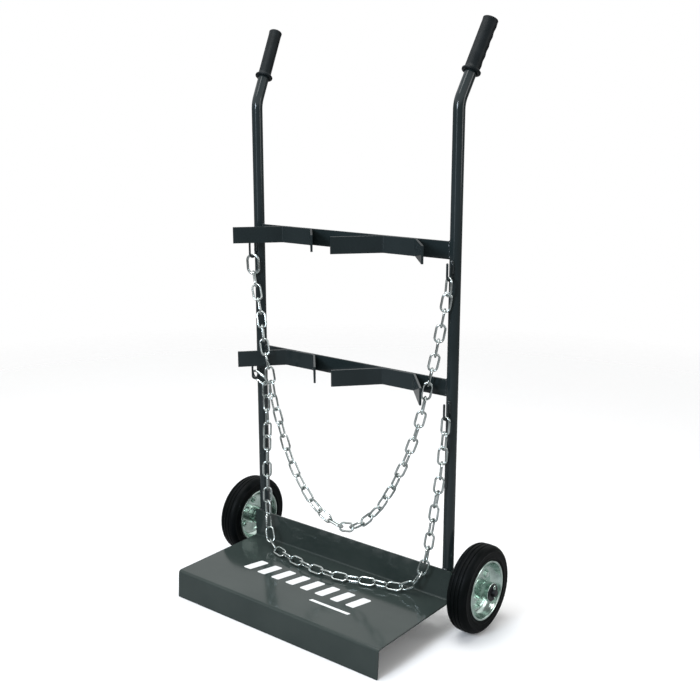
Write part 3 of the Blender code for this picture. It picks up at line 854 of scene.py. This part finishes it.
def make_grip(label, side, finish):
    """A moulded oval sleeve with a stop ring, a flat closed top, and waves along its widest side."""
    form = ring_form(lathe_rings(grip_profile(), 56, Matrix.Identity(4)))
    for vert in form.verts:
        radius = Vector((vert.co.x, vert.co.y)).length
        height = vert.co.z
        if radius < TUBE_RADIUS + 2 * GAP or height < GRIP_WALL_LOW - 0.0004:
            continue
        share = (height - GRIP_WALL_LOW) / (GRIP_WALL_TOP - GRIP_WALL_LOW)
        flare = GRIP_TOP_FLARE * max(0.0, 1 + height / GRIP_FLARE_HEIGHT)
        ripple = 0.5 + 0.5 * math.cos(share * 2 * math.pi * GRIP_WAVES)
        wave = -GRIP_WAVE * max(vert.co.x / radius, 0.0) ** 2 * ripple
        foot = min(share / GRIP_FOOT_SHARE, 1.0)
        vert.co.x *= 1 + (wave + flare) / radius
        vert.co.y *= 1 + flare / radius - (1 - GRIP_NARROW) * max(foot, 0.0)
    form.transform(grip_place(side))
    keep(f"{label}_handle_grip", form, 60, "frame", finish, [f"{label}_grip"])


def make_base_plate(finish):
    """One sheet: a lip folded down in front, the flat plate, and a flange folded up behind."""
    low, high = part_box("base_plate")
    half = SHEET / 2
    corners = [
        (low.y + half, low.z, 0),
        (low.y + half + LIP_LEAN, PLATE_TOP_Z - half, 0),
        (high.y - half, PLATE_TOP_Z - half, 0),
        (high.y - half, high.z, 0),
    ]
    outline = band_outline(rounded_path(corners, FOLD_RADIUS, 10), SHEET)
    # the lip leans out a little towards the front, and its lower edge is cut level
    outline[0].y = low.z
    outline[-1].y = low.z
    form = slab_form(outline, (high.x - low.x) / 2, CROSSWISE, 12)
    soften(keep("folded_plate", form, 50, "frame", finish, ["base_plate"]), 0.0006, 3)


def make_marking(finish):
    """A row of plain slanted blocks and one thin line, printed in white on the plate."""
    reach = MARK_X[1] - MARK_X[0] - MARK_BLOCK_WIDTH - MARK_SLANT
    size = (MARK_BLOCK_WIDTH, MARK_Y[1] - MARK_Y[0], MARK_SLANT)
    shapes = [(MARK_X[0] + reach * i / (MARK_BLOCKS - 1), MARK_Y[0], *size) for i in range(MARK_BLOCKS)]
    form = bmesh.new()
    for x, y, width, depth, slant in shapes + [MARK_LINE]:
        first, second = (x, y, 0), (x + width, y, 0)
        middle = (Vector(first) + Vector(second)) / 2
        others = [(x + width + slant, y + depth, 0), (x + slant, y + depth, 0)]
        rounding = min(depth, width) * MARK_CORNER
        loop = rounded_path([middle, second, *others, first, middle], rounding, 4)[:-1]
        rings = [[(p.x, p.y, PLATE_TOP_Z + height) for p in loop] for height in MARK_HEIGHTS]
        bottom, top = add_rings(form, rings)
        form.faces.new(bottom[::-1])
        form.faces.new(top)
    bmesh.ops.recalc_face_normals(form, faces=form.faces)
    keep("plate_marking", form, 35, "frame", finish)


def make_crossbar(level, finish, weld_finish):
    """A flat bar between the tubes, with weld beads at the front, back and top of both ends."""
    low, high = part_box(f"{level}_crossbar")
    centre, half = (low + high) / 2, (high - low) / 2
    signs = ((-1, -1), (1, -1), (1, 1), (-1, 1))
    outline = [Vector((a * half.y, b * half.z, 0)) for a, b in signs]
    form = slab_form(outline, half.x, Matrix.Translation(centre) @ CROSSWISE, 8)
    soften(keep(f"{level}_bar", form, 35, "frame", finish, [f"{level}_crossbar"]), 0.0007, 3)
    for label, side in SIDES.items():
        end = side * (half.x - 0.0008)
        for face, y in (("front", low.y), ("back", high.y)):
            ends = [(end, y, low.z + 0.002), (end, y, high.z - 0.001)]
            weld(f"{level}_{label}_bar_{face}_weld", ends, BEAD["bar"], weld_finish, side * 3.1 + y * 90)
        ends = [(end, low.y, high.z), (end, high.y, high.z)]
        weld(f"{level}_{label}_bar_top_weld", ends, BEAD["bar_top"], weld_finish, side)


def make_cradle(level, label, finish, weld_finish):
    """A flat bar bent forward at both ends, welded to the crossbar along its back."""
    name = f"{level}_{label}_cradle"
    low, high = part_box(name)
    tip = CRADLE_HALF_BACK + CRADLE_WING_OUT
    reach = CRADLE_WING_FORWARD
    corners = [(-tip, -reach, 0), (-CRADLE_HALF_BACK, 0, 0), (CRADLE_HALF_BACK, 0, 0), (tip, -reach, 0)]
    outline = band_outline(rounded_path(corners, CRADLE_BEND_RADIUS, 8), BAR_THICKNESS)
    centre = Vector(((low.x + high.x) / 2, high.y - BAR_THICKNESS / 2, (low.z + high.z) / 2))
    form = slab_form(outline, (high.z - low.z) / 2, Matrix.Translation(centre), 4)
    soften(keep(f"{name}_bar", form, 30, "frame", finish, [name]), 0.0007, 3)
    for edge, z in (("top", high.z - 0.0004), ("low", low.z + 0.0004)):
        for end, x in (("left", -CRADLE_WELD_X), ("right", CRADLE_WELD_X)):
            middle = centre.x + x
            ends = [(middle - CRADLE_WELD_HALF, high.y, z), (middle + CRADLE_WELD_HALF, high.y, z)]
            weld(f"{name}_{edge}_{end}_weld", ends, BEAD["cradle"], weld_finish, x * 100 + z)


def make_hook(level, label, side, finish, weld_finish):
    """Round rod bent to a U. One leg is welded to the front of the tube, the other stands free."""
    seat = hook_seat(level, side)
    centre = seat + UP * HOOK_BEND_RADIUS
    out = hook_plane(side)
    rise = UP * (HOOK_HEIGHT - HOOK_BEND_RADIUS)
    reach = out * HOOK_BEND_RADIUS
    legs = range(HOOK_LEG_STEPS)
    path = [centre - reach + rise * (1 - i / HOOK_LEG_STEPS) for i in legs]
    for i in range(HOOK_ARC_STEPS + 1):
        a = math.pi * i / HOOK_ARC_STEPS
        path.append(centre - reach * math.cos(a) - UP * HOOK_BEND_RADIUS * math.sin(a))
    path += [centre + reach + rise * (i + 1) / HOOK_LEG_STEPS for i in legs]
    line, radii = rounded_ends(path, HOOK_WIRE)
    form = ring_form(sweep_rings(line, [max(r, HOOK_WIRE * 0.55) for r in radii], 18))
    keep(f"{level}_{label}_chain_hook", form, 50, "frame", finish, [f"{level}_{label}_hook"])
    beside = out.cross(UP)
    leg = centre - out * (HOOK_BEND_RADIUS + HOOK_WIRE * 0.55)
    for turn, sign in (("left", -1), ("right", 1)):
        foot = leg + beside * sign * HOOK_WIRE * 0.95
        ends = [foot + UP * 0.004, foot + rise * 0.95]
        weld(f"{level}_{label}_hook_{turn}_weld", ends, BEAD["hook"], weld_finish, side + sign)
    top = leg + rise + UP * 0.0005
    ends = [top - beside * 0.004, top + beside * 0.004]
    weld(f"{level}_{label}_hook_top_weld", ends, BEAD["hook_top"], weld_finish, 7)


def make_frame_welds(finish):
    """Beads that join the tubes to the plate's flange and to the axle."""
    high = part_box("base_plate")[1]
    for label, side in SIDES.items():
        for turn, sign in (("inner", -side), ("outer", side)):
            x = side * TUBE_X + sign * TUBE_RADIUS * 0.42
            ends = [(x, high.y, PLATE_TOP_Z - 0.002), (x, high.y, high.z - 0.003)]
            weld(f"{label}_foot_{turn}_weld", ends, BEAD["foot"], finish, x * 50)
        x = side * TUBE_X
        y, z = high.y - 0.0006, high.z + 0.0002
        ends = [(x - 0.0075, y, z), (x + 0.0075, y, z)]
        weld(f"{label}_foot_top_weld", ends, BEAD["foot_top"], finish, x * 80)
        y = WHEEL_CENTRE[label].y - AXLE_RADIUS + 0.0005
        for turn, sign in (("top", 1), ("low", -1)):
            z = WHEEL_CENTRE[label].z + sign * AXLE_RADIUS * 0.55
            ends = [(x - TUBE_RADIUS * 0.8, y, z), (x + TUBE_RADIUS * 0.8, y, z)]
            weld(f"{label}_axle_{turn}_weld", ends, BEAD["axle"], finish, z * 60 + x)


# -------- axle and wheels

def make_axle(finish):
    low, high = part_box("axle")
    half = (high.x - low.x) / 2
    chamfer = 0.0012
    profile = [(0, -half), (AXLE_RADIUS - chamfer, -half), (AXLE_RADIUS, -half + chamfer),
               (AXLE_RADIUS, half - chamfer), (AXLE_RADIUS - chamfer, half), (0, half)]
    place = along((1, 0, 0), (low + high) / 2)
    form = ring_form(lathe_rings(profile, 40, place))
    keep("through_axle", form, 30, "frame", finish, ["axle"])


def ring_piece(name, node_name, body, finish, label, edge=0.0004):
    """A turned ring in a CAD ring's place, with its edges broken. Its sizes are read from the frame."""
    side = SIDES[label]
    low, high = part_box(node_name)
    outer = (high.z - low.z) / 2
    inner = next(bore for kind, bore in RING_BORE.items() if node_name.endswith(kind))
    centre = Vector(((low.x + high.x) / 2, WHEEL_CENTRE[label].y, WHEEL_CENTRE[label].z))
    half = (high.x - low.x) / 2
    profile = [(outer - edge, half), (outer, half - edge), (outer, -half + edge), (outer - edge, -half),
               (inner + edge, -half), (inner, -half + edge), (inner, half - edge), (inner + edge, half)]
    place = along((side, 0, 0), centre)
    keep(name, ring_form(lathe_rings(profile, 56, place), loop=True), 30, body, finish, [node_name])


def make_cotter(label, side, finish):
    """A split pin: two legs side by side through the axle, an eye on top, and tails bent apart."""
    centre = WHEEL_CENTRE[label] + Vector((side * COTTER_OFFSET, 0, 0))
    eye_z = AXLE_RADIUS + COTTER_EYE + 0.0012
    path = [
        Vector((side * 0.0042, -COTTER_WIRE, -0.0128)),
        Vector((side * 0.0016, -COTTER_WIRE, -0.0112)),
    ]
    path += [Vector((0, -COTTER_WIRE, COTTER_LEG_LOW + COTTER_LEG * i / 4)) for i in range(5)]
    for i in range(1, 16):
        a = math.radians(-60 - 300 * i / 16)
        path.append(Vector((0, COTTER_EYE * math.sin(a) * 0.92, eye_z - COTTER_EYE * math.cos(a))))
    path += [Vector((0, COTTER_WIRE, COTTER_LEG_LOW + COTTER_LEG * (1 - i / 4))) for i in range(5)]
    path += [
        Vector((-side * 0.0010, COTTER_WIRE, -0.0108)),
        Vector((-side * 0.0022, COTTER_WIRE * 1.2, -0.0128)),
    ]
    line, radii = rounded_ends([centre + p for p in path], COTTER_WIRE * 0.9, 3)
    form = ring_form(sweep_rings(line, radii, 12))
    keep(f"{label}_split_pin", form, 70, "frame", finish, [f"{label}_cotter_pin"])


def tyre_profile():
    """The tyre's outline: bead, bulged wall with two fine rings, round shoulder, ribs and grooves."""
    half = WHEEL_WIDTH / 2
    wall = [
        (RIM_EDGE_RADIUS + 0.0012, 0.0222),
        (0.0705, half - 0.0014), (0.0730, half - 0.0005), (0.0741, half + 0.0001), (0.0750, half + 0.0001),
        (0.0757, half - 0.0003), (0.0790, half - 0.0001), (0.0830, half), (0.0868, half - 0.0003),
        (0.0876, half + 0.0001), (0.0884, half + 0.0001), (0.0890, half - 0.0008), (0.0925, half - 0.0022),
        (0.0952, half - 0.0042), (0.0973, half - 0.0070), (0.0987, half - 0.0100), (0.0993, half - 0.0120),
    ]
    crown = []
    w, d = TREAD_GROOVE_HALF, TREAD_GROOVE_DEPTH
    groove = ((w + 0.0006, 0), (w, -0.0003), (w * 0.6, -d), (-w * 0.6, -d), (-w, -0.0003), (-w - 0.0006, 0))
    for centre in TREAD_GROOVES:
        crown += [(crown_radius(centre) + dr, centre + dz) for dz, dr in groove]
    lower = [(r, -z) for r, z in reversed(wall)]
    inside = [
        (TYRE_BEAD_RADIUS, -TYRE_BEAD_HALF_WIDTH),
        (TYRE_BORE, -TYRE_BORE_HALF_WIDTH),
        (TYRE_BORE, TYRE_BORE_HALF_WIDTH),
        (TYRE_BEAD_RADIUS, TYRE_BEAD_HALF_WIDTH),
    ]
    return wall + crown + lower + inside


def crown_radius(z):
    """The crown is slightly rounded across."""
    return WHEEL_RADIUS - 0.0010 * (z / 0.013) ** 2


def make_tyre(label, place, finish):
    form = ring_form(lathe_rings(tyre_profile(), 128, place), loop=True)
    keep(f"{label}_tyre", form, 50, f"{label}_wheel", finish, [f"{label}_wheel_tyre"])


def rim_line():
    """The pressed sheet's middle line from its rolled lip down the bowl to the hub: (radius, z)."""
    points = [
        (0.0672, 0.0230), (0.0661, 0.0242), (0.0641, 0.0236), (0.0617, 0.0172), (0.0578, 0.0086),
        (0.0520, 0.0030), (0.0462, RIM_WEB_OFFSET), (0.0400, RIM_WEB_OFFSET), (0.0300, RIM_WEB_OFFSET),
        (HUB_RADIUS + 0.0006, RIM_WEB_OFFSET),
    ]
    return smooth_route([(r, z, 0) for r, z in points], 0.0012)


def make_rim_half(label, half, facing, place, finish):
    """One pressed half of a rim, and the weld round the hub tube on its face."""
    outline = band_outline(rim_line(), RIM_SHEET)
    profile = [(p.x, facing * p.y) for p in outline]
    form = ring_form(lathe_rings(profile, 112, place), loop=True)
    wheel = f"{label}_wheel"
    piece = keep(f"{label}_{half}_pressing", form, 60, wheel, finish, [f"{wheel}_{half}_rim"])
    soften(piece, 0.0005, 2, 55)
    axis = place.to_3x3() @ UP
    middle = place @ Vector((0, 0, facing * (RIM_WEB_OFFSET + RIM_SHEET / 2)))
    collar = [middle + axis.to_track_quat("Z", "Y") @ p for p in circle(HUB_RADIUS + 0.0006, 90)]
    radii = [BEAD["hub"] * (1 + 0.10 * math.sin(i * 1.7)) for i in range(len(collar))]
    form = ring_form(sweep_rings(collar, radii, 10, axis, closed=True), loop=True)
    keep(f"{label}_{half}_hub_weld", form, 180, wheel, finish)


def make_bolt(label, number, place, finish):
    """A hexagon-head bolt through both rim halves, with washers, a nut, and a little thread showing."""
    face = RIM_WEB_OFFSET + RIM_SHEET / 2
    name = f"{label}_rim_bolt_{number}"
    head, washer = BOLT_HEAD_RADIUS, BOLT_WASHER_RADIUS
    washer_profile = [(0, 0.0010), (washer - 0.0003, 0.0010), (washer, 0.0006), (washer, 0.0001), (0, 0.0001)]
    thread = [(BOLT_SHANK_RADIUS - 0.0004 * (i % 2), 0.0060 + 0.0003 * i) for i in range(9)]
    # each shape's number of sides, its facing, and its outline from the rim's face outward
    shapes = [
        (6, 1, [(0, 0.0052), (head * 0.80, 0.0052), (head, 0.0042), (head, 0.0010), (0, 0.0010)]),
        (32, 1, washer_profile),
        (32, -1, washer_profile[::-1]),
        (6, -1, [(0, 0.0010), (head * 0.84, 0.0010), (head, 0.0018), (head, 0.0052), (head * 0.84, 0.0060),
                 (0, 0.0060)]),
        (24, -1, [(0, 0.0060), *thread, (0, 0.0086)]),
    ]
    form = bmesh.new()
    for sides, facing, outline in shapes:
        add_rings(form, lathe_rings([(r, facing * (face + z)) for r, z in outline], sides, place))
    clean(form)
    piece = keep(f"{name}_set", form, 30, f"{label}_wheel", finish, [name])
    soften(piece, 0.00025, 2, 35)


def make_seal(label, end, place, finish):
    """The dark seal that closes a bearing between its races."""
    inner, outer = SEAL_RADII
    z = HUB_HALF_LENGTH - SEAL_INSET
    sign = 1 if end == "outer" else -1
    profile = [(outer, z - 0.0012), (outer, z - 0.0002), (outer - 0.0006, z), (inner + 0.0012, z),
               (inner + 0.0006, z - 0.0005), (inner + 0.0001, z - 0.0005), (inner + 0.0001, z - 0.0012)]
    form = ring_form(lathe_rings([(r, sign * h) for r, h in profile], 56, place), loop=True)
    keep(f"{label}_{end}_bearing_seal", form, 40, f"{label}_wheel", finish)


def make_wheel(label, side, finishes):
    place = along((side, 0, 0), WHEEL_CENTRE[label])
    zinc, steel, black = (finishes[name] for name in ("zinc_plate", "bearing_steel", "black_steel"))
    wheel = f"{label}_wheel"
    make_tyre(label, place, finishes["tyre_rubber"])
    make_rim_half(label, "outer", 1, place, zinc)
    make_rim_half(label, "inner", -1, place, zinc)
    ring_piece(f"{label}_hub_tube", f"{label}_wheel_hub", wheel, zinc, label, 0.0007)
    for i in range(RIM_BOLTS):
        angle = BOLT_PHASE[label] + 2 * math.pi * i / RIM_BOLTS
        offset = Vector((0, math.cos(angle), math.sin(angle))) * RIM_BOLT_CIRCLE
        make_bolt(label, i + 1, Matrix.Translation(offset) @ place, zinc)
    for end in ("inner", "outer"):
        for race, body in (("outer", wheel), ("inner", "frame")):
            node_name = f"{label}_{end}_bearing_{race}_race"
            ring_piece(f"{label}_{end}_{race}_race", node_name, body, steel, label)
        make_seal(label, end, place, finishes["grip_rubber"])
    ring_piece(f"{label}_spacer_tube", f"{label}_axle_spacer", "frame", zinc, label)
    name = f"{label}_retaining_washer"
    ring_piece(name, f"{label}_axle_washer", "frame", black, label, 0.0005)
    make_cotter(label, side, zinc)


# -------- the cart

def make_cart(finishes):
    coat = finishes["frame_coat"]
    weld_coat = finishes["weld_coat"]
    # the plate takes the lighter copy of the frame's paint, which paints light onto the plate
    make_base_plate(finishes["plate_coat_painted_light"])
    make_marking(finishes["marking_white"])
    for label, side in SIDES.items():
        make_upright(label, side, coat)
        make_grip(label, side, finishes["grip_rubber"])
        make_wheel(label, side, finishes)
    for level in LEVELS:
        make_crossbar(level, coat, weld_coat)
        make_chain(level, finishes["chain_zinc"])
        for label, side in SIDES.items():
            make_cradle(level, label, coat, weld_coat)
            make_hook(level, label, side, coat, weld_coat)
    make_frame_welds(weld_coat)
    make_axle(finishes["black_steel"])


def dress_frame(finishes):
    """Every CAD node takes its own slot's finish."""
    slots = {part["node"]: part["material_slot"] for part in frame["record"]["subparts"]}
    for name, piece in frame["nodes"].items():
        piece.data.materials.clear()
        piece.data.materials.append(finishes[slots[name]])


all_finishes = make_finishes()
make_studio()
make_cart(all_finishes)
dress_frame(all_finishes)
bpy.context.scene.view_settings.view_transform = "Standard"
